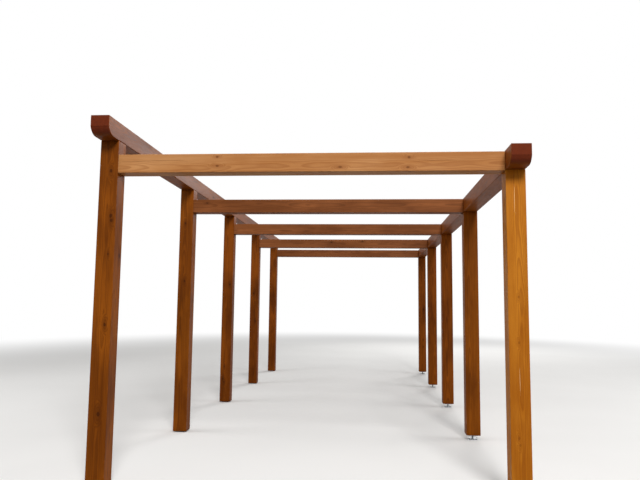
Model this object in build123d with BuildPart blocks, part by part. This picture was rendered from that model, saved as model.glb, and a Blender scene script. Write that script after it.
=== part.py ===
from build123d import *
import os

# Carport frame of planed square timbers: five cross frames, two long plates, pin feet.
# X runs across from the tall row of posts to the short row, Y runs front to back, Z is up.
# The origin is on the ground in the middle of the frame. All sizes are in millimetres.

# Layout
frame_count = 5
frame_pitch = 2000  # centre to centre of the cross frames
width_over_posts = 3130  # outer face of the left row to outer face of the right row
left_post_top = 2540  # underside of the left plate above the ground
right_post_top = 2300  # underside of the right plate above the ground

# Timber sections
post_side = 140
plate_height = 140
beam_thickness = 140
beam_height = 140
beam_drop = 8  # how far a crossbeam's underside lies below the tops of the right posts
arris = 4  # planed-off edge on every long corner
foot_arris = 6  # wider bevel round the bottom of a post, which sheds rain

# Plate ends
plate_overhang = 190  # past the front and rear faces of the outer posts
end_round_height = 65  # rounded lower corner, measured up the end face
end_round_depth = 85  # rounded lower corner, measured along the underside

# Joinery
tenon_thickness = 44
post_tenon_width = 90
post_tenon_height = 50
beam_tenon_height = 80
mortise_gap = 0.3  # round the cheeks of a tenon
mortise_end_gap = 2  # beyond the end of a tenon
mortise_wall = 5  # wood left between the two mortises in a plate

# Pin feet
foot_plate_side = 80
foot_plate_thickness = 10  # the left posts stand right on this plate
foot_corner_radius = 6
anchor_spacing = 54  # between the anchor holes of one foot, both ways
anchor_hole_radius = 4.5
anchor_head_radius = 8  # countersunk, so that the head of the screw stays under a post
bearing_side = 100
bearing_thickness = 5  # the right posts stand on this plate, up on the pin
right_foot_gap = 48  # ground to the underside of a right post
pin_diameter = 20
pin_depth = 120  # length of pin inside the post
pin_gap = 0.5  # round the pin in its bore
pin_bevel = 2

# Places worked out from the sizes above
left_x = -(width_over_posts - post_side) / 2
right_x = (width_over_posts - post_side) / 2
left_inner_x = left_x + post_side / 2
right_inner_x = right_x - post_side / 2
clear_width = right_inner_x - left_inner_x
frame_ys = [(i - (frame_count - 1) / 2) * frame_pitch for i in range(frame_count)]
plate_width = post_side
plate_length = frame_ys[-1] - frame_ys[0] + post_side + 2 * plate_overhang
beam_middle_z = right_post_top - beam_drop + beam_height / 2
left_foot_gap = foot_plate_thickness
beam_tenon_length = (post_side - tenon_thickness) / 2 - mortise_gap - mortise_end_gap - mortise_wall


def beam_y(frame_y):
    """Middle of a crossbeam whose front face is flush with the front faces of its posts."""
    return frame_y - post_side / 2 + beam_thickness / 2


def beam_mortise_plane(face_x, into, frame_y):
    """Plane on an upright face at face_x, looking into the wood, centred on a crossbeam."""
    origin = (face_x, beam_y(frame_y), beam_middle_z)
    return Plane(origin=origin, x_dir=(0, 1, 0), z_dir=(into, 0, 0))


def cut_beam_mortise(face_x, into, frame_y):
    """Mortise for the stub tenon of a crossbeam, cut in the part that is being built."""
    with BuildSketch(beam_mortise_plane(face_x, into, frame_y)) as mouth:
        Rectangle(tenon_thickness + 2 * mortise_gap, beam_tenon_height + 2 * mortise_gap)
    extrude(mouth.sketch, amount=beam_tenon_length + mortise_end_gap, mode=Mode.SUBTRACT)


def make_post(x, y, foot_gap, top, takes_beam):
    """Square post with a stub tenon on top and a bore for its pin below."""
    with BuildPart() as post:
        with BuildSketch(Plane((x, y, foot_gap))):
            Rectangle(post_side, post_side)
        extrude(amount=top - foot_gap)
        chamfer(post.edges().filter_by(Axis.Z), arris)
        chamfer(post.faces().sort_by(Axis.Z)[0].edges(), foot_arris)
        with BuildSketch(Plane((x, y, top))):
            Rectangle(tenon_thickness, post_tenon_width)
        extrude(amount=post_tenon_height)
        with BuildSketch(Plane((x, y, foot_gap))):
            Circle(pin_diameter / 2 + pin_gap)
        extrude(amount=pin_depth + mortise_end_gap, mode=Mode.SUBTRACT)
        if takes_beam:
            cut_beam_mortise(left_inner_x, -1, y)
    return post.part


def make_plate(x, underside, takes_beams):
    """Long plate with rounded lower corners at both ends and mortises for what it joins."""
    half = plate_length / 2
    flank_x = x - plate_width / 2 + arris
    with BuildPart() as plate:
        with BuildSketch(Plane(origin=(flank_x, 0, underside), x_dir=(0, 1, 0), z_dir=(1, 0, 0))):
            with BuildLine():
                Line((-half, plate_height), (half, plate_height))
                Line((half, plate_height), (half, end_round_height))
                TangentArc((half - end_round_depth, 0), (half, end_round_height), tangent=(1, 0))
                Line((half - end_round_depth, 0), (end_round_depth - half, 0))
                TangentArc((end_round_depth - half, 0), (-half, end_round_height), tangent=(-1, 0))
                Line((-half, end_round_height), (-half, plate_height))
            make_face()
        extrude(amount=plate_width - 2 * arris)
        for flank in (plate.faces().sort_by(Axis.X)[0], plate.faces().sort_by(Axis.X)[-1]):
            extrude(flank, amount=arris, taper=45)
        for y in frame_ys:
            with BuildSketch(Plane((x, y, underside))):
                Rectangle(tenon_thickness + 2 * mortise_gap, post_tenon_width + 2 * mortise_gap)
            extrude(amount=post_tenon_height + mortise_end_gap, mode=Mode.SUBTRACT)
            if takes_beams:
                cut_beam_mortise(right_inner_x, 1, y)
    return plate.part


def make_crossbeam(frame_y):
    """Beam between the inner faces of the left post and the right plate, a tenon at each end."""
    tenon_plane = Plane(
        origin=(left_inner_x - beam_tenon_length, beam_y(frame_y), beam_middle_z),
        x_dir=(0, 1, 0),
        z_dir=(1, 0, 0),
    )
    with BuildPart() as beam:
        with BuildSketch(beam_mortise_plane(left_inner_x, 1, frame_y)):
            Rectangle(beam_thickness, beam_height)
        extrude(amount=clear_width)
        chamfer(beam.edges().filter_by(Axis.X), arris)
        with BuildSketch(tenon_plane):
            Rectangle(tenon_thickness, beam_tenon_height)
        extrude(amount=clear_width + 2 * beam_tenon_length)
    return beam.part


def make_foot(x, y, gap, has_bearing):
    """Steel foot: an anchored plate on the ground and a pin that runs up into the post."""
    with BuildPart() as foot:
        with BuildSketch(Plane((x, y, 0))):
            RectangleRounded(foot_plate_side, foot_plate_side, foot_corner_radius)
        extrude(amount=foot_plate_thickness)
        with Locations(Plane((x, y, foot_plate_thickness))):
            with GridLocations(anchor_spacing, anchor_spacing, 2, 2):
                CounterSinkHole(anchor_hole_radius, anchor_head_radius, foot_plate_thickness)
        if has_bearing:
            with BuildSketch(Plane((x, y, gap - bearing_thickness))):
                RectangleRounded(bearing_side, bearing_side, foot_corner_radius)
            extrude(amount=bearing_thickness)
        with BuildSketch(Plane((x, y, 0))):
            Circle(pin_diameter / 2)
        extrude(amount=gap + pin_depth)
        chamfer(foot.faces().sort_by(Axis.Z)[-1].edges(), pin_bevel)
    return foot.part


def save(part, name):
    """Name a finished piece and write it."""
    part.label = name
    export_step(part, f"parts/{name}.step")


os.makedirs("parts", exist_ok=True)

for number, y in enumerate(frame_ys, start=1):
    save(make_post(left_x, y, left_foot_gap, left_post_top, True), f"left_post_{number}")
    save(make_post(right_x, y, right_foot_gap, right_post_top, False), f"right_post_{number}")
    save(make_crossbeam(y), f"crossbeam_{number}")
    save(make_foot(left_x, y, left_foot_gap, False), f"left_foot_{number}")
    save(make_foot(right_x, y, right_foot_gap, True), f"right_foot_{number}")

save(make_plate(left_x, left_post_top, False), "left_plate")
save(make_plate(right_x, right_post_top, True), "right_plate")
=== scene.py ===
# %% [markdown]
# # An unroofed timber carport, dressed for the camera
# The real thing is a lean-to frame of planed square timbers under a see-through, orange-brown wood
# stain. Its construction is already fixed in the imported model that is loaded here, so this lesson
# only makes the looks: eased edges, drying checks, knots, growth rings, galvanised feet, floor and
# light. Photos of wood would be the quick way, but they never match at the joints. Everything here
# is worked out from each timber's own length and section instead, so rings and faces agree.

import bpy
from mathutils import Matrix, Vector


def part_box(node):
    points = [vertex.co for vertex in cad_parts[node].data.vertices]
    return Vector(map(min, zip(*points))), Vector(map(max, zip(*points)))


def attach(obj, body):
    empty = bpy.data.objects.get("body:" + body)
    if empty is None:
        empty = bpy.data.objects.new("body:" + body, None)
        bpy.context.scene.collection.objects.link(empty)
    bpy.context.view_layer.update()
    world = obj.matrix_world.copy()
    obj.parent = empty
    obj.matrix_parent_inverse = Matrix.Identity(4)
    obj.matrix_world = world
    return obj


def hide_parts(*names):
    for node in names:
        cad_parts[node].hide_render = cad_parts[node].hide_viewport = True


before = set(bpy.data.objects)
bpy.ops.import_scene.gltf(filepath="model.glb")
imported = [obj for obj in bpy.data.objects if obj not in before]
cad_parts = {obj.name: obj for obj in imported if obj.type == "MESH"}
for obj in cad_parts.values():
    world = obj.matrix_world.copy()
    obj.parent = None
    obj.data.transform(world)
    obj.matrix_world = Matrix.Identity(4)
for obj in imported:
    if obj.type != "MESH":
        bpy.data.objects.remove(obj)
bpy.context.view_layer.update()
print("pieces in the frame:", len(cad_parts))

# %% Tools of the trade
import math
import random
from dataclasses import dataclass, field

import bpy
from mathutils import Matrix, Vector, noise

# %% [markdown]
# ## What each timber is
# Posts stand, plates run front to back and crossbeams run across. In every one of them the fibres
# run along its length, so each timber gets its own measure: two distances across the section and
# one along it. One small record per timber holds where it starts, how long it is and how it runs.
# The shoulders come from the neighbours' boxes, because a tenon hides inside the next timber.

# %% The record of a timber
ACROSS_AND_ALONG = {
    "post": (Vector((1, 0, 0)), Vector((0, 1, 0)), Vector((0, 0, 1))),
    "plate": (Vector((1, 0, 0)), Vector((0, 0, 1)), Vector((0, 1, 0))),
    "crossbeam": (Vector((0, 1, 0)), Vector((0, 0, 1)), Vector((1, 0, 0))),
}


@dataclass
class Timber:
    node: str
    kind: str
    corner: Vector
    width: float
    height: float
    length: float
    slot: str
    checks: list = field(default_factory=list)
    knots: list = field(default_factory=list)

    def place(self, a, b, w):
        """A point of the section (a, b), measured from its middle, at w along the timber."""
        side, up, along = ACROSS_AND_ALONG[self.kind]
        return self.corner + side * (a + self.width / 2) + up * (b + self.height / 2) + along * w


def post(node, plate):
    low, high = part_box(node)
    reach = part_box(plate)[0].z - low.z
    return Timber(node, "post", low, high.x - low.x, high.y - low.y, reach, "posts")


def plate(node):
    low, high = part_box(node)
    return Timber(node, "plate", low, high.x - low.x, high.z - low.z, high.y - low.y, "plates")


def crossbeam(node, left_post):
    low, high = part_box(node)
    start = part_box(left_post)[1].x
    corner = Vector((start, low.y, low.z))
    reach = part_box("right_plate")[0].x - start
    return Timber(node, "crossbeam", corner, high.y - low.y, high.z - low.z, reach, "crossbeams")


CROSS_FRAMES = 5

timbers = [plate("left_plate"), plate("right_plate")]
for number in range(1, CROSS_FRAMES + 1):
    timbers.append(post(f"left_post_{number}", "left_plate"))
    timbers.append(post(f"right_post_{number}", "right_plate"))
    timbers.append(crossbeam(f"crossbeam_{number}", f"left_post_{number}"))
by_name = {timber.node: timber for timber in timbers}
for timber in timbers[:5]:  # the plates and the first cross frame
    print(f"{timber.node}: {timber.width:.3f} by {timber.height:.3f} m, {timber.length:.3f} m long")

# %% [markdown]
# ## Drying checks
# A squared log shrinks more around its rings than across them, so it opens in long thin splits on
# its faces. On the real frame a few show as pale or dark hairlines. A split is one record: the face,
# where it runs across and along, how long, how wide and deep, and whether raw pale wood shows in it.
# Faces are numbered 0 to 3 round the section: low b, high a, high b, low a. On the faces that can
# be seen closely, the splits stand where the real ones are. On the other faces they are scattered.

@dataclass
class Check:
    face: int
    across: float
    start: float
    length: float
    gap: float = 0.0016
    depth: float = 0.012
    pale: bool = False


by_name["right_post_1"].checks += [
    Check(0, -0.012, 1.93, 0.22, 0.0045, 0.0016, pale=True),
    Check(0, -0.010, 2.14, 0.10, 0.0014),
    Check(0, 0.000, 0.69, 0.18, 0.0044, 0.0016, pale=True),
]
by_name["crossbeam_1"].checks += [
    Check(3, -0.018, 0.02, 0.50, 0.0020),
    Check(3, -0.004, 2.22, 0.37, 0.0014),
]
SEEN_CLOSELY = {"left_post_1": (0,), "right_post_1": (0, 3), "crossbeam_1": (3,)}

SEED = 11
SHARE_OF_SOUND_FACES = 0.3
CHECK_LENGTHS = (0.12, 0.38)  # shares of the timber's length
CHECK_STARTS = (0.05, 0.95)  # shares of the length that is left
CHECK_PLACES = (-0.03, 0.03)  # across the face
CHECK_GAPS = (0.0009, 0.0018)

chance = random.Random(SEED)
for timber in timbers:
    for face in range(4):
        if face in SEEN_CLOSELY.get(timber.node, ()) or chance.random() < SHARE_OF_SOUND_FACES:
            continue
        span = timber.length * chance.uniform(*CHECK_LENGTHS)
        start = chance.uniform(*CHECK_STARTS) * (timber.length - span)
        across = chance.uniform(*CHECK_PLACES)
        timber.checks.append(Check(face, across, start, span, chance.uniform(*CHECK_GAPS)))
print("drying checks:", sum(len(timber.checks) for timber in timbers))

# %% [markdown]
# ## Knots
# A knot is a branch that starts at the pith and comes out through one face. Each record names the
# face, the place on it and the branch's radius. Those on the front faces of the first two posts and
# the first beam stand where the real ones are, to a centimetre or so. The others are scattered
# about two to a metre, as in spruce from a saw mill.

# %% The knots that the frame has
@dataclass
class Knot:
    face: int
    across: float
    along: float
    radius: float


def on_front_beam(along, across, radius):
    return Knot(3, across, along, radius)


by_name["crossbeam_1"].knots += [
    on_front_beam(0.757, 0.023, 0.007),
    on_front_beam(0.757, -0.046, 0.005),
    on_front_beam(1.669, 0.037, 0.007),
    on_front_beam(2.161, 0.041, 0.007),
    on_front_beam(2.168, -0.031, 0.006),
]
by_name["left_post_1"].knots += [
    Knot(0, 0.018, 2.296, 0.008),
    Knot(0, 0.033, 1.956, 0.009),
    Knot(0, 0.037, 1.923, 0.009),
    Knot(0, 0.025, 1.671, 0.005),
    Knot(1, 0.030, 1.667, 0.011),
    Knot(0, 0.024, 1.153, 0.008),
    Knot(0, 0.006, 0.511, 0.010),
]
by_name["right_post_1"].knots += [
    Knot(0, 0.002, 1.346, 0.005),
    Knot(0, -0.001, 1.029, 0.005),
    Knot(0, -0.014, 0.386, 0.006),
    Knot(0, -0.008, 0.339, 0.005),
]
KNOTS_PER_METRE = 2.2
MOST_KNOTS = 14
OUT_OF_SIGHT = {"left_post_1": 1, "right_post_1": 2, "crossbeam_1": 1}
KNOT_STATIONS = (0.03, 0.97)  # shares of the timber's length
KNOT_PLACES = (-0.045, 0.045)  # across the face
KNOT_RADII = (0.005, 0.010)

for timber in timbers:
    usual = min(MOST_KNOTS, round(timber.length * KNOTS_PER_METRE))
    taken = {knot.face for knot in timber.knots}
    free_faces = [face for face in range(4) if face not in taken]
    for _ in range(OUT_OF_SIGHT.get(timber.node, usual)):
        along = chance.uniform(*KNOT_STATIONS) * timber.length
        face, across = chance.choice(free_faces), chance.uniform(*KNOT_PLACES)
        timber.knots.append(Knot(face, across, along, chance.uniform(*KNOT_RADII)))
print("knots:", sum(len(timber.knots) for timber in timbers))

# %% [markdown]
# ## The shape of a timber
# A stretched cube would give knife edges and no splits. The piece is a loft instead: one ring of
# points round the section is repeated along the length and joined up. Each ring has rounded
# corners, and on each face a point that dives inwards where a check runs. At both ends the rings
# draw in by an eased edge, which leaves the fine shadow line where two timbers meet. The flats sink
# by less than a millimetre here and there, as planed wood does, so the shine isn't ruler straight.

# %% Section ring
EDGE_RADIUS = 0.005
EDGE_STEPS = 4
FLAT_GUARD = 0.002  # a strip beside each rounded edge, which keeps the flat's shading flat
PLANING_WAVE = 0.0009
RING_SPACING = 0.03
FACE_TURNS = (-90, 0, 90, 180)
CHECK_WANDER = 0.006
CHECK_SWELL = 0.6  # below 1, a check opens quickly at its ends
CHECK_LIP = 4  # half gaps from the middle of a check to where the flat is untouched
NO_CHECK = (0.0, 0.0006, 0.0, None)


def check_at(timber, face, w):
    for check in timber.checks:
        share = (w - check.start) / check.length
        if check.face == face and 0 < share < 1:
            swell = math.sin(math.pi * share) ** CHECK_SWELL
            wander = CHECK_WANDER * noise.noise(Vector((w * 2.3, face * 7.1, check.start * 5)))
            ragged = 0.75 + 0.5 * abs(noise.noise(Vector((w * 17, face, check.start))))
            half_gap = check.gap / 2 * swell * ragged
            return check.across + wander, half_gap, check.depth * swell, check
    return NO_CHECK


def ring(timber, w, low, inset, cut=0.0):
    """Points of one section as (a, b, tone, edge, cut), where cut says how far the underside is
    sawn across the fibres. low lifts the underside and inset draws the ring in."""
    half = (timber.width / 2 - inset, timber.height / 2 - inset)
    floor = -timber.height / 2 + low + inset
    points = []
    for face in range(4):
        turn = math.radians(FACE_TURNS[face])
        across, gap, depth, check = check_at(timber, face, w)
        wave = noise.noise(Vector((w * 1.7, face * 5.3, timber.length * 3)))
        hollow = PLANING_WAVE * max(0.0, wave)
        reach = half[0] if face in (0, 2) else half[1]
        out = half[1] if face in (0, 2) else half[0]
        tone = 0.0 if check is None else (1.0 if check.pale else -1.0)
        flat = reach - EDGE_RADIUS
        lip = CHECK_LIP * gap
        run = [(-flat, 0, 0), (-flat + FLAT_GUARD, 0, 0), (across - lip, 0, 0), (across - gap, 0, 0)]
        run += [(across, -depth, tone), (across + gap, 0, 0), (across + lip, 0, 0)]
        run.append((flat - FLAT_GUARD, 0, 0))
        for s, deep, shade in run:
            points.append((s, out + deep - hollow, turn, shade, 0.0, cut if face == 0 else 0.0))
        for step in range(EDGE_STEPS):
            angle = math.pi / 2 * step / EDGE_STEPS
            s = reach - EDGE_RADIUS + EDGE_RADIUS * math.sin(angle)
            rounded = out - EDGE_RADIUS + EDGE_RADIUS * math.cos(angle)
            fade = {0: math.cos(angle), 3: math.sin(angle)}.get(face, 0.0)
            points.append((s, rounded, turn, 0, math.sin(2 * angle), cut * fade))
    placed = []
    for s, out, turn, shade, edge, sawn in points:
        a = out * math.cos(turn) - s * math.sin(turn)
        b = out * math.sin(turn) + s * math.cos(turn)
        top = timber.height / 2 - inset
        b = top - (top - b) * (top - floor) / (2 * half[1])
        placed.append((a, b, shade, edge, sawn))
    return placed


print("points in a ring:", len(ring(timbers[0], 0.5, 0, 0)))

# %% [markdown]
# The plates end in a rounded lower corner: an arc that leaves the underside smoothly and meets
# the upright end face at a slight edge. Near an end, the rings' underside lifts along that arc.

# %% Places of the rings
END_ROUND_HEIGHT = 0.065
END_ROUND_DEPTH = 0.085
END_ROUND_STEPS = 16
END_EASE = 0.003
END_ROUND_RADIUS = (END_ROUND_DEPTH**2 + END_ROUND_HEIGHT**2) / (2 * END_ROUND_HEIGHT)
CUT_FROM, CUT_OVER = 0.25, 0.5  # shares of the radius over which side grain turns into end grain
END_EASE_SHARES = (0.4, 1.0)


def lift(timber, w):
    """How far the underside lies above the flat at w, near the rounded ends of a plate."""
    inwards = END_ROUND_DEPTH - min(w, timber.length - w)
    if timber.kind != "plate" or inwards <= 0:
        return 0.0
    return END_ROUND_RADIUS - math.sqrt(END_ROUND_RADIUS**2 - inwards**2)


def cut_across(timber, w):
    """0 where the underside runs with the fibres, 1 where the rounded end cuts across them."""
    inwards = END_ROUND_DEPTH - min(w, timber.length - w)
    if timber.kind != "plate" or inwards <= 0:
        return 0.0
    share = min(1.0, max(0.0, (inwards / END_ROUND_RADIUS - CUT_FROM) / CUT_OVER))
    return share * share * (3 - 2 * share)


def stations(timber):
    """Distances along the timber at which it has a ring, closer together at a rounded end."""
    ends = [END_EASE]
    if timber.kind == "plate":
        for step in range(1, END_ROUND_STEPS + 1):
            turned = 1 - math.cos(math.pi / 2 * step / END_ROUND_STEPS)
            ends.append(END_ROUND_DEPTH * turned + END_EASE)
    count = round((timber.length - 2 * ends[-1]) / RING_SPACING)
    step = (timber.length - 2 * ends[-1]) / count
    middle = [ends[-1] + step * i for i in range(1, count)]
    return ends + middle + [timber.length - w for w in reversed(ends)]


def section_rings(timber):
    """Every (w, low, inset) from end to end, with the end edges eased."""
    rings = []
    for w in stations(timber):
        rings.append((w, lift(timber, w), 0.0))
    for share in END_EASE_SHARES:
        inset = END_EASE * (1 - math.cos(math.pi / 2 * share))
        w = END_EASE * (1 - share)
        rings.insert(0, (w, lift(timber, END_EASE), inset))
        rings.append((timber.length - w, lift(timber, END_EASE), inset))
    return rings


print("rings on a post:", len(section_rings(by_name["left_post_1"])))

# %% [markdown]
# Four measures are stored on the mesh for the finish to use later: the place in the timber measured
# from its pith (the heart of the tree), whether a point lies in a pale or a dark check, whether it
# is on a rounded edge, and how far the surface there is sawn across the fibres. They stay with the
# wood, so a ring that leaves one face enters the next.

# %% Timber mesh
PITH_SPREAD = 0.030
TIMBER_STEP = 11.0  # added along the grain for each timber, so that no two have the same pattern


def loft_faces(ring_count, per_ring, start=0):
    """Quads between each ring and the next, and one face on the first ring and on the last."""
    faces = []
    for i in range(ring_count - 1):
        first, second = start + i * per_ring, start + (i + 1) * per_ring
        for j in range(per_ring):
            k = (j + 1) % per_ring
            faces.append((first + j, first + k, second + k, second + j))
    for first in (start, start + (ring_count - 1) * per_ring):
        faces.append(tuple(range(first, first + per_ring)))
    return faces


def timber_mesh(timber, number):
    """The whole timber as one closed mesh, with its measures."""
    rings = section_rings(timber)
    vertices, grain, shade, edges, sawn = [], [], [], [], []
    pith = Vector((chance.uniform(-1, 1) * PITH_SPREAD, chance.uniform(-1, 1) * PITH_SPREAD))
    for w, low, inset in rings:
        for a, b, tone, edge, cut in ring(timber, w, low, inset, cut_across(timber, w)):
            vertices.append(timber.place(a, b, w))
            grain.append((a - pith.x, b - pith.y, w + number * TIMBER_STEP))
            shade.append(tone)
            edges.append(edge)
            sawn.append(max(cut, inset / END_EASE))
    mesh = bpy.data.meshes.new(timber.node + "_wood")
    mesh.from_pydata(vertices, [], loft_faces(len(rings), len(vertices) // len(rings)))
    mesh.attributes.new("grain", "FLOAT_VECTOR", "POINT").data.foreach_set(
        "vector", [value for point in grain for value in point]
    )
    mesh.attributes.new("split", "FLOAT", "POINT").data.foreach_set("value", shade)
    mesh.attributes.new("edge", "FLOAT", "POINT").data.foreach_set("value", edges)
    mesh.attributes.new("end_grain", "FLOAT", "POINT").data.foreach_set("value", sawn)
    piece = bpy.data.objects.new(timber.node + "_wood", mesh)
    bpy.context.scene.collection.objects.link(piece)
    return piece, pith


# %% [markdown]
# Face windings are made to agree and point outwards, and only shallow angles are shaded smooth, so
# the flats stay flat and the eased edges catch one soft line of light.

# %% Clean up a mesh
import bmesh

SMOOTH_BELOW = math.radians(40)


def tidy_mesh(piece):
    sheet = bmesh.new()
    sheet.from_mesh(piece.data)
    bmesh.ops.recalc_face_normals(sheet, faces=sheet.faces)
    for face in sheet.faces:
        face.smooth = True
    for edge in sheet.edges:
        big_face = max(len(face.verts) for face in edge.link_faces) > 4
        edge.smooth = not big_face and edge.calc_face_angle(0) < SMOOTH_BELOW
    sheet.to_mesh(piece.data)
    sheet.free()


# %% Build every timber
piths = {}
wood_pieces = {}
for number, timber in enumerate(timbers):
    piece, pith = timber_mesh(timber, number)
    tidy_mesh(piece)
    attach(piece, "root")
    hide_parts(timber.node)
    piths[timber.node] = pith
    wood_pieces[timber.node] = piece
print("timber faces:", sum(len(piece.data.polygons) for piece in wood_pieces.values()))

# %% [markdown]
# ## Node helpers
# Shader trees are long when they are written out socket by socket. These helpers let the next
# cells read as sums: each takes sockets or plain numbers and gives back a socket.

# %% Helpers for node trees
def srgb(red, green, blue):
    """A colour as it looks on screen, 0 to 255, turned into the linear values that shading uses."""
    linear = []
    for value in (red, green, blue):
        v = value / 255
        linear.append(v / 12.92 if v <= 0.04045 else ((v + 0.055) / 1.055) ** 2.4)
    return (*linear, 1.0)


class Tree:
    """A node tree with short ways to add nodes and join them."""

    def __init__(self, tree):
        self.tree = tree

    def add(self, kind, **settings):
        made = self.tree.nodes.new(kind)
        for name, value in settings.items():
            setattr(made, name, value)
        return made

    def feed(self, socket, value):
        if isinstance(value, bpy.types.NodeSocket):
            self.tree.links.new(value, socket)
        else:
            socket.default_value = value

    def math(self, operation, *values):
        made = self.add("ShaderNodeMath", operation=operation)
        for socket, value in zip(made.inputs, values):
            self.feed(socket, value)
        return made.outputs[0]

    def vector(self, operation, *values):
        made = self.add("ShaderNodeVectorMath", operation=operation)
        for socket, value in zip(made.inputs, values):
            self.feed(socket, value)
        return made.outputs["Value" if operation in ("LENGTH", "DOT_PRODUCT") else "Vector"]

    def scale(self, vector, factor):
        made = self.add("ShaderNodeVectorMath", operation="SCALE")
        self.feed(made.inputs[0], vector)
        self.feed(made.inputs["Scale"], factor)
        return made.outputs[0]

    def ramp(self, value, low, high, to_low=0.0, to_high=1.0):
        made = self.add("ShaderNodeMapRange", interpolation_type="SMOOTHSTEP")
        self.feed(made.inputs["Value"], value)
        self.feed(made.inputs["From Min"], low)
        self.feed(made.inputs["From Max"], high)
        made.inputs["To Min"].default_value = to_low
        made.inputs["To Max"].default_value = to_high
        return made.outputs[0]

    def mix(self, share, first, second):
        made = self.add("ShaderNodeMix", data_type="RGBA")
        self.feed(made.inputs["Factor"], share)
        self.feed(made.inputs[6], first)
        self.feed(made.inputs[7], second)
        return made.outputs[2]

    def noise(self, vector, scale, detail=3.0, roughness=0.5):
        made = self.add("ShaderNodeTexNoise")
        self.feed(made.inputs["Vector"], vector)
        made.inputs["Scale"].default_value = scale
        made.inputs["Detail"].default_value = detail
        made.inputs["Roughness"].default_value = roughness
        return made.outputs["Fac"]


def shader_group(name, inputs, outputs):
    """A named node group with its sockets; gives the tree and its two end nodes."""
    group = bpy.data.node_groups.new(name, "ShaderNodeTree")
    for socket, kind in inputs.items():
        group.interface.new_socket(socket, in_out="INPUT", socket_type=kind)
    for socket, kind in outputs.items():
        group.interface.new_socket(socket, in_out="OUTPUT", socket_type=kind)
    tree = Tree(group)
    return tree, tree.add("NodeGroupInput").outputs, tree.add("NodeGroupOutput").inputs


def new_material(name):
    """An empty material, and the tree to fill."""
    material = bpy.data.materials.new(name)
    material.use_nodes = True
    material.node_tree.nodes.clear()
    return material, Tree(material.node_tree)


def show(tree, shader, kind="ShaderNodeOutputMaterial"):
    """Makes a shader the one that is seen."""
    tree.feed(tree.add(kind).inputs["Surface"], shader.outputs[0])


FLOAT, VECTOR = "NodeSocketFloat", "NodeSocketVector"

# %% [markdown]
# ## Growth rings
# The face of a sawn timber shows the tree's rings cut lengthwise: wide flame shapes where the saw
# ran along a ring, close stripes where it ran across. The group measures the distance from the
# pith, lets the trunk wander and taper a little, and repeats a light, then dark band once a year.
# Because it works in the timber's own space, the same rings close up into circles on the end grain.

# %% Growth ring group
DRIFT_SCALE = (2.5, 2.5, 0.9)  # slow across the trunk, slower along it
STREAK_SCALE = (34.0, 34.0, 1.1)
FIBRE_SCALE = (520.0, 520.0, 9.0)
ACROSS_ONLY = (1.0, 1.0, 0.0)
TRUNK_TAPER = 0.006
LATE_WOOD_GROWS = (0.25, 0.86)  # shares of a year
LATE_WOOD_STOPS = (0.90, 1.0)

tree, given, wanted = shader_group(
    "growth_rings",
    {"Grain": VECTOR, "Ring Width": FLOAT, "Wander": FLOAT, "Lift": FLOAT},
    {"Late Wood": FLOAT, "Streak": FLOAT, "Fibre": FLOAT},
)
slow = tree.vector("MULTIPLY", given["Grain"], DRIFT_SCALE)
drift = tree.add("ShaderNodeTexNoise")
tree.feed(drift.inputs["Vector"], slow)
drift.inputs["Scale"].default_value = 1.0
drift.inputs["Detail"].default_value = 3.0
centred = tree.vector("SUBTRACT", drift.outputs["Color"], (0.5, 0.5, 0.5))
moved = tree.vector("ADD", given["Grain"], tree.scale(centred, given["Wander"]))
flat = tree.vector("MULTIPLY", moved, ACROSS_ONLY)
radius = tree.vector("LENGTH", flat)
parts = tree.add("ShaderNodeSeparateXYZ")
tree.feed(parts.inputs[0], given["Grain"])
radius = tree.math("ADD", radius, tree.math("MULTIPLY", parts.outputs["Z"], TRUNK_TAPER))
radius = tree.math("ADD", radius, given["Lift"])
year = tree.math("FRACT", tree.math("DIVIDE", radius, given["Ring Width"]))
rise = tree.ramp(year, *LATE_WOOD_GROWS)
fall = tree.ramp(year, *LATE_WOOD_STOPS, 1.0, 0.0)
tree.feed(wanted["Late Wood"], tree.math("MULTIPLY", rise, fall))
streak = tree.noise(tree.vector("MULTIPLY", moved, STREAK_SCALE), 1.0, 4.0, 0.6)
tree.feed(wanted["Streak"], tree.ramp(streak, 0.32, 0.68))
fibre = tree.noise(tree.vector("MULTIPLY", given["Grain"], FIBRE_SCALE), 1.0, 2.0)
tree.feed(wanted["Fibre"], fibre)
growth_rings = tree.tree
print("growth ring nodes:", len(growth_rings.nodes))

# %% [markdown]
# ## A knot
# A branch is a rod from the pith outwards. The group gives the distance of a point from that rod
# as three masks: the hard dark knot, its darker rim, and a halo where the rings bend around it. The
# trunk's fibres part for a branch like water round a stone, so the halo is drawn out lengthwise.

# %% Knot group
KNOT_STRETCH = 0.66  # below 1, the knot is longer along the timber than across it
HALO_STRETCH = 0.3
BRANCH_START = 0.012  # from the pith, over which a branch grows to its full mark

tree, given, wanted = shader_group(
    "branch_knot",
    {"Grain": VECTOR, "Root": VECTOR, "Direction": VECTOR, "Radius": FLOAT},
    {"Knot": FLOAT, "Rim": FLOAT, "Halo": FLOAT},
)
away = tree.vector("SUBTRACT", given["Grain"], given["Root"])
along = tree.vector("DOT_PRODUCT", away, given["Direction"])
beside = tree.vector("SUBTRACT", away, tree.scale(given["Direction"], along))
wobble = tree.math("ADD", tree.math("MULTIPLY", tree.noise(given["Grain"], 34.0, 1.0), 0.9), 0.55)


def knot_share(along_grain, outline=1.0):
    """Distance from the branch in knot radii, squeezed along the timber."""
    squeezed = tree.vector("MULTIPLY", beside, (1.0, 1.0, along_grain))
    distance = tree.math("MULTIPLY", tree.vector("LENGTH", squeezed), outline)
    return tree.math("DIVIDE", distance, given["Radius"])


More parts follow.
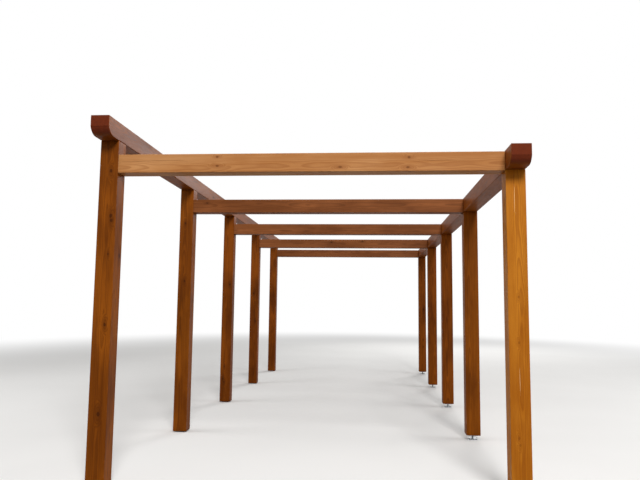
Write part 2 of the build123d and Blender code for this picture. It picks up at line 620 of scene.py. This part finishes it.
share = knot_share(KNOT_STRETCH, wobble)
outward = tree.ramp(along, 0.0, BRANCH_START)
tree.feed(wanted["Knot"], tree.math("MULTIPLY", tree.ramp(share, 0.85, 1.05, 1.0, 0.0), outward))
rim = tree.math("MULTIPLY", tree.ramp(share, 0.6, 0.95), tree.ramp(share, 1.0, 1.35, 1.0, 0.0))
tree.feed(wanted["Rim"], tree.math("MULTIPLY", rim, outward))
halo = tree.ramp(knot_share(HALO_STRETCH), 0.6, 3.6, 1.0, 0.0)
tree.feed(wanted["Halo"], tree.math("MULTIPLY", halo, outward))
branch_knot = tree.tree
print("knot nodes:", len(branch_knot.nodes))

# %% [markdown]
# ## End grain
# The sawn ends drink more stain and dry out first: they are darker and browner, and fine splits run
# out from the pith like spokes. The group makes the spokes from the angle around the pith.

# %% End grain group
SPOKE_WIDTH = 0.0016
SPOKE_BEND = 0.7  # radians
PITH_RADIUS = 0.004

tree, given, wanted = shader_group(
    "end_grain_spokes", {"Grain": VECTOR, "Spokes": FLOAT}, {"Crack": FLOAT, "Blotch": FLOAT}
)
parts = tree.add("ShaderNodeSeparateXYZ")
tree.feed(parts.inputs[0], given["Grain"])
angle = tree.math("ARCTAN2", parts.outputs["Y"], parts.outputs["X"])
bend = tree.math("MULTIPLY", tree.noise(given["Grain"], 26.0, 2.0), SPOKE_BEND)
turns = tree.math("MULTIPLY", tree.math("ADD", angle, bend), given["Spokes"])
spoke = tree.math("ABSOLUTE", tree.math("SINE", turns))
radius = tree.vector("LENGTH", tree.vector("MULTIPLY", given["Grain"], ACROSS_ONLY))
width = tree.math("DIVIDE", SPOKE_WIDTH, tree.math("ADD", radius, PITH_RADIUS))
crack = tree.ramp(tree.math("DIVIDE", spoke, width), 0.6, 1.6, 1.0, 0.0)
some = tree.ramp(tree.noise(given["Grain"], 22.0, 1.0), 0.46, 0.56)
tree.feed(wanted["Crack"], tree.math("MULTIPLY", crack, some))
tree.feed(wanted["Blotch"], tree.noise(given["Grain"], 45.0, 4.0))
end_grain_spokes = tree.tree
print("end grain nodes:", len(end_grain_spokes.nodes))

# %% [markdown]
# ## The stain
# The finish is a see-through stain in orange-brown. The darker late wood shows through it, and it
# pools darker beside knots. The front beam and the first right post look much paler than the rest.
# A part of that is daylight, which soft studio light can't repeat, so here a guess is made: the
# number of coats carries a share of it, as painted light on those two and painted shade on the
# left and rear timbers, which are mixed deeper. Two palettes hold one coat and three, and each
# timber has its own mix of them.

# %% Stain colours
ONE_COAT = {"light": srgb(209, 134, 38), "deep": srgb(179, 104, 20), "late": srgb(136, 65, 10)}
THREE_COATS = {"light": srgb(136, 60, 2), "deep": srgb(80, 26, 0), "late": srgb(34, 8, 0)}
# The crossbeams' thin coat is paler and greyer than ONE_COAT: partly stain, partly a painted sheen.
STAIN_AND_SHEEN_COAT = {"light": srgb(208, 154, 100), "deep": srgb(184, 124, 70), "late": srgb(148, 87, 44)}
RED_COAT = {"light": srgb(128, 54, 10), "deep": srgb(86, 28, 4), "late": srgb(42, 10, 0)}
# Besides the coats, low mixes here are partly painted light and high mixes partly painted shade.
COATS_AND_PAINTED_LIGHT = {  # 0 is one coat and 1 is three
    "left_post_1": 0.78,
    "left_post_2": 0.78,
    "right_post_1": 0.14,
    "right_post_2": 0.78,
    "crossbeam_1": 0.12,
}
# Besides the coats, these deep mixes are partly painted shade on the timbers further back.
COATS_AND_PAINTED_SHADE_ELSEWHERE = {"posts": 0.85, "crossbeams": 0.76, "plates": 0.78}
PALETTES = {
    "posts": (ONE_COAT, THREE_COATS),
    "crossbeams": (STAIN_AND_SHEEN_COAT, RED_COAT),
    "plates": (ONE_COAT, RED_COAT),
}
KNOT_CONTRAST = {"right_post_1": 0.5}  # its knots are hardly darker than the wood
KNOT_DARKENING = 0.62
RIM_DARKENING = 0.40
RAW_WOOD = srgb(238, 200, 150)
# Painted shade: the near-black inside the dark checks and the end grain's cracks.
CRACK_SHADE = srgb(30, 12, 6)
END_COLOR = srgb(123, 52, 24)
END_DEEP = srgb(68, 22, 8)
RING_WIDTH = 0.0052
RING_WANDER = 0.055


def stain(timber):
    """The light, deep and late-wood colour of a timber, between one coat and three; the mix also
    carries painted light and shade.
    """
    thin, thick = PALETTES[timber.slot]
    coats_and_painted_light = COATS_AND_PAINTED_LIGHT.get(timber.node, COATS_AND_PAINTED_SHADE_ELSEWHERE[timber.slot])
    return {
        part: tuple(a + (b - a) * coats_and_painted_light for a, b in zip(thin[part], thick[part])) for part in thin
    }


def darker(colour, share):
    return tuple(value * share for value in colour[:3]) + (1.0,)


def surface_point(timber, knot):
    """Where a knot comes out, measured from the middle of the section."""
    turn = math.radians(FACE_TURNS[knot.face])
    out = (timber.height if knot.face in (0, 2) else timber.width) / 2
    a = out * math.cos(turn) - knot.across * math.sin(turn)
    b = out * math.sin(turn) + knot.across * math.cos(turn)
    return Vector((a, b))


def knot_masks(tree, grain, timber, number):
    """Adds every knot of a timber and gives the combined knot, rim and halo."""
    totals = {"Knot": 0.0, "Rim": 0.0, "Halo": 0.0}
    pith = piths[timber.node]
    for knot in timber.knots:
        leaves = surface_point(timber, knot) - pith
        made = tree.add("ShaderNodeGroup", node_tree=branch_knot)
        tree.feed(made.inputs["Grain"], grain)
        made.inputs["Root"].default_value = (0.0, 0.0, knot.along + number * TIMBER_STEP)
        made.inputs["Direction"].default_value = Vector((leaves.x, leaves.y, 0.0)).normalized()
        made.inputs["Radius"].default_value = knot.radius
        for name in totals:
            totals[name] = tree.math("MAXIMUM", totals[name], made.outputs[name])
    return totals


# %% Stained timber material
COAT_SHINE = {"posts": 0.03, "crossbeams": 0.03, "plates": 0.06}
COAT_ROUGHNESS = 0.18
SPECULAR_LEVEL = 0.05
RING_WIDTH_RANGE = (0.85, 1.25)
HALO_LIFT = 0.016  # how far a knot pushes the rings outwards
DEEP_SHARE, LATE_SHARE, FIBRE_SHARE = 0.68, 0.40, 0.20
HALO_SHARE, KNOT_SHARE, RIM_SHARE, WORN_SHARE = 0.45, 0.70, 0.55, 0.45
END_SPOKES = 7.0
SMOOTH, ROUGH = 0.48, 0.64
END_ROUGHENING, LATE_WOOD_POLISH = 0.22, -0.06
BUMP_STRENGTH, BUMP_DEPTH = 0.35, 0.0012


def stained_wood(timber, number):
    colours = stain(timber)
    material, tree = new_material(timber.node + "_stain")
    grain = tree.add("ShaderNodeAttribute", attribute_name="grain").outputs["Vector"]
    split = tree.add("ShaderNodeAttribute", attribute_name="split").outputs["Fac"]
    edge = tree.add("ShaderNodeAttribute", attribute_name="edge").outputs["Fac"]
    is_end = tree.add("ShaderNodeAttribute", attribute_name="end_grain").outputs["Fac"]
    knots = knot_masks(tree, grain, timber, number)

    rings = tree.add("ShaderNodeGroup", node_tree=growth_rings)
    tree.feed(rings.inputs["Grain"], grain)
    rings.inputs["Ring Width"].default_value = RING_WIDTH * chance.uniform(*RING_WIDTH_RANGE)
    rings.inputs["Wander"].default_value = RING_WANDER
    tree.feed(rings.inputs["Lift"], tree.math("MULTIPLY", knots["Halo"], HALO_LIFT))
    late = rings.outputs["Late Wood"]

    pooled = tree.noise(tree.vector("MULTIPLY", grain, (5.0, 5.0, 1.6)), 1.0, 3.0, 0.55)
    streaks = tree.math("MULTIPLY", rings.outputs["Streak"], 0.5)
    depth = tree.math("ADD", streaks, tree.ramp(pooled, 0.38, 0.64))
    colour = tree.mix(tree.math("MULTIPLY", depth, DEEP_SHARE), colours["light"], colours["deep"])
    colour = tree.mix(tree.math("MULTIPLY", late, LATE_SHARE), colour, colours["late"])
    contrast = KNOT_CONTRAST.get(timber.node, 1.0)
    fine = tree.ramp(rings.outputs["Fibre"], 0.35, 0.7)
    colour = tree.mix(tree.math("MULTIPLY", fine, FIBRE_SHARE), colour, colours["late"])
    halo = tree.math("MULTIPLY", knots["Halo"], HALO_SHARE * contrast)
    colour = tree.mix(halo, colour, colours["late"])
    knot_colour = darker(colours["late"], KNOT_DARKENING)
    rim_colour = darker(colours["late"], RIM_DARKENING)
    colour = tree.mix(tree.math("MULTIPLY", knots["Knot"], KNOT_SHARE * contrast), colour, knot_colour)
    colour = tree.mix(tree.math("MULTIPLY", knots["Rim"], RIM_SHARE * contrast), colour, rim_colour)
    worn = tree.ramp(tree.noise(grain, 24.0, 4.0, 0.6), 0.45, 0.65)
    worn = tree.math("MULTIPLY", tree.math("MULTIPLY", edge, worn), WORN_SHARE)
    colour = tree.mix(worn, colour, colours["light"])

    ends = tree.add("ShaderNodeGroup", node_tree=end_grain_spokes)
    tree.feed(ends.inputs["Grain"], grain)
    ends.inputs["Spokes"].default_value = END_SPOKES
    end_colour = tree.mix(tree.math("MULTIPLY", late, 0.7), END_COLOR, END_DEEP)
    end_colour = tree.mix(tree.math("MULTIPLY", ends.outputs["Blotch"], 0.5), end_colour, END_DEEP)
    # The end grain's cracks get painted shade.
    end_colour = tree.mix(ends.outputs["Crack"], end_colour, CRACK_SHADE)
    colour = tree.mix(is_end, colour, end_colour)

    colour = tree.mix(tree.ramp(split, 0.15, 0.6), colour, RAW_WOOD)
    # The dark checks get painted shade in their slits.
    split_shade = tree.ramp(tree.math("MULTIPLY", split, -1.0), 0.1, 0.6)
    colour = tree.mix(split_shade, colour, CRACK_SHADE)

    gloss = tree.ramp(rings.outputs["Fibre"], 0.2, 0.8, SMOOTH, ROUGH)
    gloss = tree.math("ADD", gloss, tree.math("MULTIPLY", late, LATE_WOOD_POLISH))
    gloss = tree.math("ADD", gloss, tree.math("MULTIPLY", is_end, END_ROUGHENING))

    height = tree.math("MULTIPLY", rings.outputs["Fibre"], 0.5)
    height = tree.math("ADD", height, tree.math("MULTIPLY", late, 0.35))
    height = tree.math("SUBTRACT", height, tree.math("MULTIPLY", ends.outputs["Crack"], is_end))
    bump = tree.add("ShaderNodeBump")
    bump.inputs["Strength"].default_value = BUMP_STRENGTH
    bump.inputs["Distance"].default_value = BUMP_DEPTH
    tree.feed(bump.inputs["Height"], height)

    shader = tree.add("ShaderNodeBsdfPrincipled")
    tree.feed(shader.inputs["Base Color"], colour)
    tree.feed(shader.inputs["Roughness"], gloss)
    tree.feed(shader.inputs["Normal"], bump.outputs["Normal"])
    shader.inputs["Specular IOR Level"].default_value = SPECULAR_LEVEL
    shader.inputs["Coat Weight"].default_value = COAT_SHINE[timber.slot]
    shader.inputs["Coat Roughness"].default_value = COAT_ROUGHNESS
    show(tree, shader)
    return material


for number, timber in enumerate(timbers):
    wood_pieces[timber.node].data.materials.append(stained_wood(timber, number))
print("stained timbers:", len(wood_pieces))

# %% [markdown]
# ## Galvanised feet
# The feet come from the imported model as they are: a ground plate, a pin and, under the short row of
# posts, a bearing plate. Hot zinc freezes in flat crystals that each shine a little differently, so
# the finish is a cell pattern in brightness and in roughness, with a dull film here and there.

# %% Zinc group and material
tree, given, wanted = shader_group(
    "zinc_crystals", {"Place": VECTOR, "Crystal Size": FLOAT}, {"Tone": FLOAT, "Film": FLOAT}
)
cells = tree.add("ShaderNodeTexVoronoi")
tree.feed(cells.inputs["Vector"], given["Place"])
tree.feed(cells.inputs["Scale"], tree.math("DIVIDE", 1.0, given["Crystal Size"]))
shine = tree.add("ShaderNodeSeparateColor")
tree.feed(shine.inputs[0], cells.outputs["Color"])
tree.feed(wanted["Tone"], shine.outputs["Red"])
tree.feed(wanted["Film"], tree.ramp(tree.noise(given["Place"], 38.0, 4.0, 0.6), 0.42, 0.62))
zinc_crystals = tree.tree

STEEL_CRYSTALS, SCREW_CRYSTALS = 0.007, 0.0012

zinc, tree = new_material("galvanised_steel")
crystals = tree.add("ShaderNodeGroup", node_tree=zinc_crystals)
tree.feed(crystals.inputs["Place"], tree.add("ShaderNodeTexCoord").outputs["Object"])
crystals.inputs["Crystal Size"].default_value = STEEL_CRYSTALS
tone = tree.mix(crystals.outputs["Tone"], srgb(128, 131, 134), srgb(168, 171, 174))
tone = tree.mix(tree.math("MULTIPLY", crystals.outputs["Film"], 0.6), tone, srgb(104, 103, 98))
shader = tree.add("ShaderNodeBsdfPrincipled")
tree.feed(shader.inputs["Base Color"], tone)
shader.inputs["Metallic"].default_value = 0.85
worn = tree.math("ADD", tree.math("MULTIPLY", crystals.outputs["Tone"], 0.12), 0.34)
worn = tree.math("ADD", worn, tree.math("MULTIPLY", crystals.outputs["Film"], 0.2))
tree.feed(shader.inputs["Roughness"], worn)
show(tree, shader)

feet = [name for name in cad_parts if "_foot_" in name]
for name in feet:
    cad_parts[name].data.materials.clear()
    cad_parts[name].data.materials.append(zinc)
print("feet:", len(feet))

# %% [markdown]
# ## Anchor screws
# Each foot has four countersunk holes for screws into the ground. Which kind the real feet have is
# a guess: the usual one has a hexagon socket. A textured disc would do from afar, but the short row
# of posts stands clear of the ground and shows them. So each screw is turned from its outline:
# shank, cone, rim, flat top, and a six-sided socket that goes down into it.

# %% Screws in the feet
ANCHOR_SPACING = 0.054
FOOT_PLATE_TOP = 0.010
SCREW_SIDES = 24
SHANK_RADIUS, HEAD_RADIUS, SOCKET_FLAT = 0.0040, 0.0074, 0.0025
SCREW_OUTLINE = [  # radius, depth below the foot plate's top, and whether the ring is six-sided
    (SHANK_RADIUS, 0.0094, False),
    (SHANK_RADIUS, 0.0046, False),
    (HEAD_RADIUS, 0.0007, False),
    (HEAD_RADIUS, 0.0004, False),
    (HEAD_RADIUS - 0.0003, 0.0002, False),
    (SOCKET_FLAT + 0.0002, 0.0002, True),
    (SOCKET_FLAT, 0.0005, True),
    (SOCKET_FLAT, 0.0032, True),
]


def screw_rings(turn):
    """The rings of one screw from the ground up, then down into its socket."""
    rings = []
    for radius, depth, six_sided in SCREW_OUTLINE:
        points = []
        for i in range(SCREW_SIDES):
            angle = 2 * math.pi * i / SCREW_SIDES
            reach = radius
            if six_sided:
                off_flat = (angle + math.pi / 6) % (math.pi / 3) - math.pi / 6
                reach = radius / math.cos(off_flat)
            spin = angle + turn
            x, y = reach * math.cos(spin), reach * math.sin(spin)
            points.append(Vector((x, y, FOOT_PLATE_TOP - depth)))
        rings.append(points)
    return rings


def anchor_screws(foot):
    low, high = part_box(foot)
    centre = (low + high) / 2
    vertices, faces = [], []
    for x in (-0.5, 0.5):
        for y in (-0.5, 0.5):
            place = Vector((centre.x + x * ANCHOR_SPACING, centre.y + y * ANCHOR_SPACING, 0.0))
            rings = screw_rings(chance.uniform(0, math.pi / 3))
            faces += loft_faces(len(rings), SCREW_SIDES, start=len(vertices))
            vertices += [place + point for points in rings for point in points]
    mesh = bpy.data.meshes.new(foot + "_screws")
    mesh.from_pydata(vertices, [], faces)
    piece = bpy.data.objects.new(foot + "_screws", mesh)
    bpy.context.scene.collection.objects.link(piece)
    return piece


plated, tree = new_material("plated_screw")
crystals = tree.add("ShaderNodeGroup", node_tree=zinc_crystals)
tree.feed(crystals.inputs["Place"], tree.add("ShaderNodeTexCoord").outputs["Object"])
crystals.inputs["Crystal Size"].default_value = SCREW_CRYSTALS
tone = tree.mix(crystals.outputs["Tone"], srgb(150, 152, 152), srgb(178, 180, 180))
tone = tree.mix(tree.math("MULTIPLY", crystals.outputs["Film"], 0.5), tone, srgb(112, 106, 96))
shader = tree.add("ShaderNodeBsdfPrincipled")
tree.feed(shader.inputs["Base Color"], tone)
shader.inputs["Metallic"].default_value = 0.95
dull = tree.math("MULTIPLY", crystals.outputs["Film"], 0.25)
tree.feed(shader.inputs["Roughness"], tree.math("ADD", dull, 0.24))
show(tree, shader)

for foot in feet:
    piece = anchor_screws(foot)
    tidy_mesh(piece)
    piece.data.materials.append(plated)
    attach(piece, "root")
print("anchor screws:", 4 * len(feet))

# %% [markdown]
# ## Floor
# The frame stands on a plain pale floor that runs out of sight. Near the posts it is a real surface
# and takes their shadows; further out it turns into the plain white of the background, so there is
# no horizon. Its pale colour is only for what looks straight at it. The light that it throws back
# on the timbers is that of a mid-grey ground, which keeps their undersides dark.

# %% Pale floor
FLOOR_REACH = 60.0
WHITE_FROM, WHITE_AT = 6.5, 15.0
LENGTHWISE = (1.0, 0.62, 0.0)  # the floor stays real for longer along the frame than across it
BOUNCE_GREY = srgb(150, 149, 147)
floor_mesh = bpy.data.meshes.new("floor")
corners = [(x * FLOOR_REACH, y * FLOOR_REACH, 0.0) for x, y in ((-1, -1), (1, -1), (1, 1), (-1, 1))]
floor_mesh.from_pydata(corners, [], [(0, 1, 2, 3)])
floor = bpy.data.objects.new("floor", floor_mesh)
bpy.context.scene.collection.objects.link(floor)


def looked_at(tree):
    """1 for rays that show the background: from the camera, in a mirror or through glass."""
    rays = tree.add("ShaderNodeLightPath").outputs
    straight = tree.math("MAXIMUM", rays["Is Camera Ray"], rays["Is Glossy Ray"])
    return tree.math("MAXIMUM", straight, rays["Is Transmission Ray"])


paper, tree = new_material("pale_floor")
place = tree.add("ShaderNodeTexCoord").outputs["Object"]
seen = looked_at(tree)
mottle = tree.mix(tree.noise(place, 0.6, 2.0), srgb(240, 239, 237), srgb(246, 245, 243))
surface = tree.add("ShaderNodeBsdfDiffuse")
tree.feed(surface.inputs["Color"], tree.mix(seen, BOUNCE_GREY, mottle))
white = tree.add("ShaderNodeEmission")
distance = tree.vector("LENGTH", tree.vector("MULTIPLY", place, LENGTHWISE))
far = tree.ramp(distance, WHITE_FROM, WHITE_AT)
blend = tree.add("ShaderNodeMixShader")
tree.feed(blend.inputs[0], tree.math("MULTIPLY", far, seen))
tree.feed(blend.inputs[1], surface.outputs[0])
tree.feed(blend.inputs[2], white.outputs[0])
show(tree, blend)
floor_mesh.materials.append(paper)
print("floor reach:", FLOOR_REACH, "m")

# %% [markdown]
# ## Light
# One large soft lamp, high in front of the frame, stands for the bright day. Three weaker ones open
# the shadows from the left, the right and the back, and the world fills the rest evenly. What shows
# behind the frame is plain white, also in the steel's shine.

# %% World and lamps
AMBIENT = 0.34
world = bpy.data.worlds.new("studio")
bpy.context.scene.world = world
world.use_nodes = True
world.node_tree.nodes.clear()
tree = Tree(world.node_tree)
sky = tree.add("ShaderNodeBackground")
sky.inputs["Color"].default_value = (1.0, 1.0, 1.0, 1.0)
brighter = tree.math("MULTIPLY", looked_at(tree), 1 - AMBIENT)
tree.feed(sky.inputs["Strength"], tree.math("ADD", brighter, AMBIENT))
show(tree, sky, "ShaderNodeOutputWorld")


def lamp(name, place, target, size, power):
    light = bpy.data.lights.new(name, "AREA")
    light.shape = "DISK"
    light.size = size
    light.energy = power
    holder = bpy.data.objects.new(name, light)
    bpy.context.scene.collection.objects.link(holder)
    holder.location = place
    holder.rotation_euler = (Vector(target) - Vector(place)).to_track_quat("-Z", "Y").to_euler()
    print(name, power, "W")


SUN_SIZE, FILL_SIZE = 4.0, 6.0
lamp("sun", (2.6, -14.0, 9.0), (0.0, -1.0, 1.2), SUN_SIZE, 1400)
lamp("left_fill", (-9.0, -3.0, 5.0), (0.0, 0.0, 1.2), FILL_SIZE, 220)
lamp("right_fill", (9.0, -1.0, 5.0), (0.0, 0.0, 1.2), FILL_SIZE, 220)
lamp("back_fill", (4.0, 13.0, 8.0), (0.0, 1.0, 1.2), FILL_SIZE, 620)

# %% [markdown]
# ## Camera
# The camera is in front of the frame, a little right of its middle and 1.3 m above the ground. It
# points slightly up and to the left and is almost level. These values were found by matching the
# timbers' edges, and the focal length is for a picture 36 mm wide.

# %% Camera
CAMERA_PLACE = Vector((0.4656, -8.500, 1.322))
CAMERA_UP_TILT = math.radians(6.00)
CAMERA_LEFT_TURN = math.radians(4.669)
CAMERA_ROLL = math.radians(0.642)
LENS_PIXELS = 619.3
PICTURE_WIDTH = 640
SENSOR_WIDTH = 36.0

ahead = Vector((-math.sin(CAMERA_LEFT_TURN) * math.cos(CAMERA_UP_TILT),
                math.cos(CAMERA_LEFT_TURN) * math.cos(CAMERA_UP_TILT), math.sin(CAMERA_UP_TILT)))
level = Vector((math.cos(CAMERA_LEFT_TURN), math.sin(CAMERA_LEFT_TURN), 0.0))
upward = level.cross(ahead)
right = level * math.cos(CAMERA_ROLL) + upward * math.sin(CAMERA_ROLL)
upward = upward * math.cos(CAMERA_ROLL) - level * math.sin(CAMERA_ROLL)
turn = Matrix((right, upward, -ahead)).transposed().to_4x4()

camera_data = bpy.data.cameras.new("camera")
camera_data.sensor_fit = "HORIZONTAL"
camera_data.sensor_width = SENSOR_WIDTH
camera_data.lens = LENS_PIXELS / PICTURE_WIDTH * SENSOR_WIDTH
camera_data.clip_end = 500.0
camera = bpy.data.objects.new("camera", camera_data)
camera.matrix_world = Matrix.Translation(CAMERA_PLACE) @ turn
bpy.context.scene.collection.objects.link(camera)
bpy.context.scene.camera = camera
bpy.context.scene.view_settings.view_transform = "Standard"
print("lens:", round(camera_data.lens, 2), "mm")

# %% The end
bpy.context.view_layer.update()
